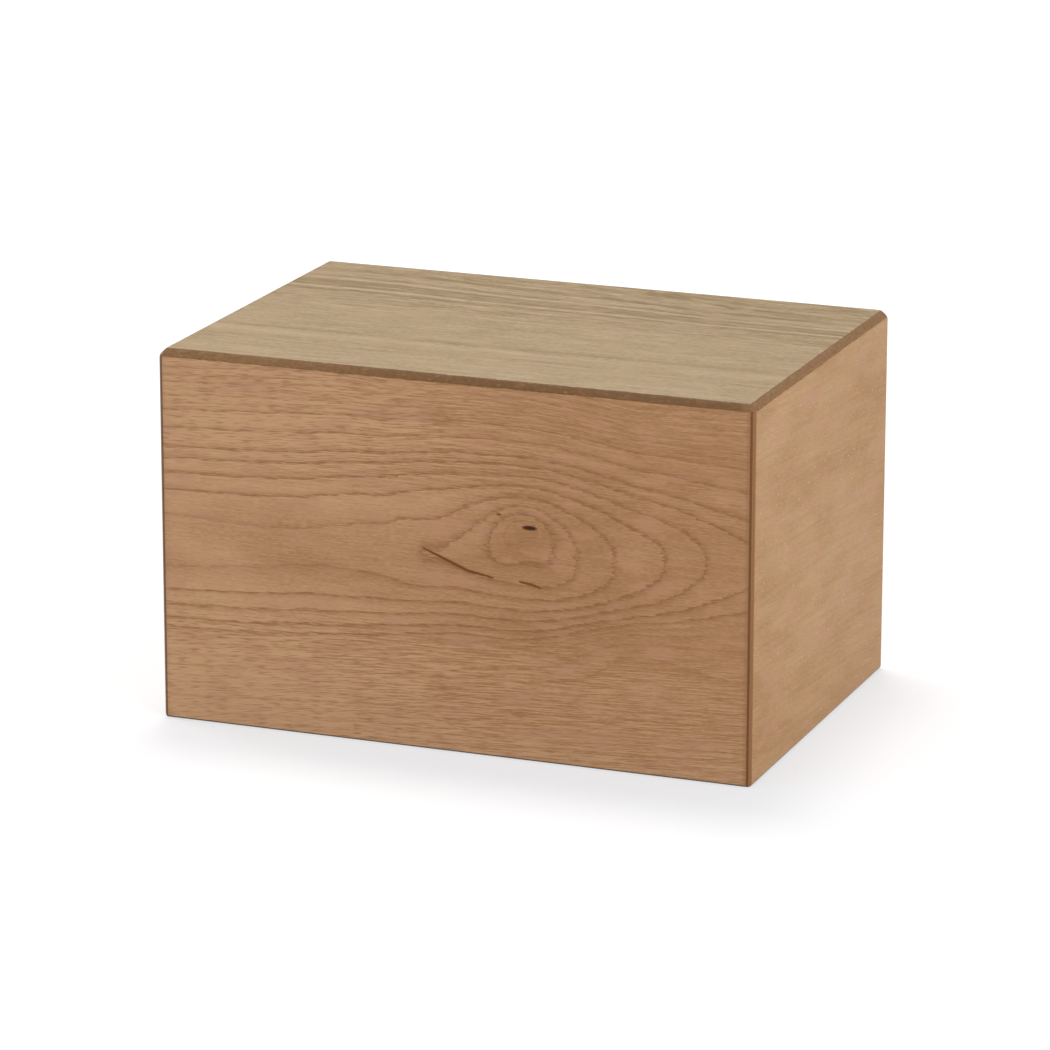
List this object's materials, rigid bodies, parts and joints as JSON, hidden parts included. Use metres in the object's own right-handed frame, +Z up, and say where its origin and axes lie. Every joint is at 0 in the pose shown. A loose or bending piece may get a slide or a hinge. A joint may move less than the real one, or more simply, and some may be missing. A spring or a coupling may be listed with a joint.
{
  "type": "cremation urn box",
  "caption": "Closed rectangular keepsake box of veneered board with mitred corners, chamfered edges and a screwed base, for holding ashes.",
  "frame": {"origin": "middle of the rim that the box stands on", "axes": "+X along the long side, to the right seen from the front; the front faces -Y; +Z up"},
  "size_m": [0.235, 0.16, 0.144],
  "materials": {
    "veneer": "satin",
    "side_veneer": "satin",
    "plain_board": "matte",
    "zinc_steel": "satin"
  },
  "bodies": {
    "root": {"top_panel": "veneer", "front_panel": "veneer", "back_panel": "veneer", "left_panel": "side_veneer", "right_panel": "side_veneer", "base_panel": "plain_board", "base_screw_1": "zinc_steel", "base_screw_2": "zinc_steel", "base_screw_3": "zinc_steel", "base_screw_4": "zinc_steel"}
  },
  "joints": []
}
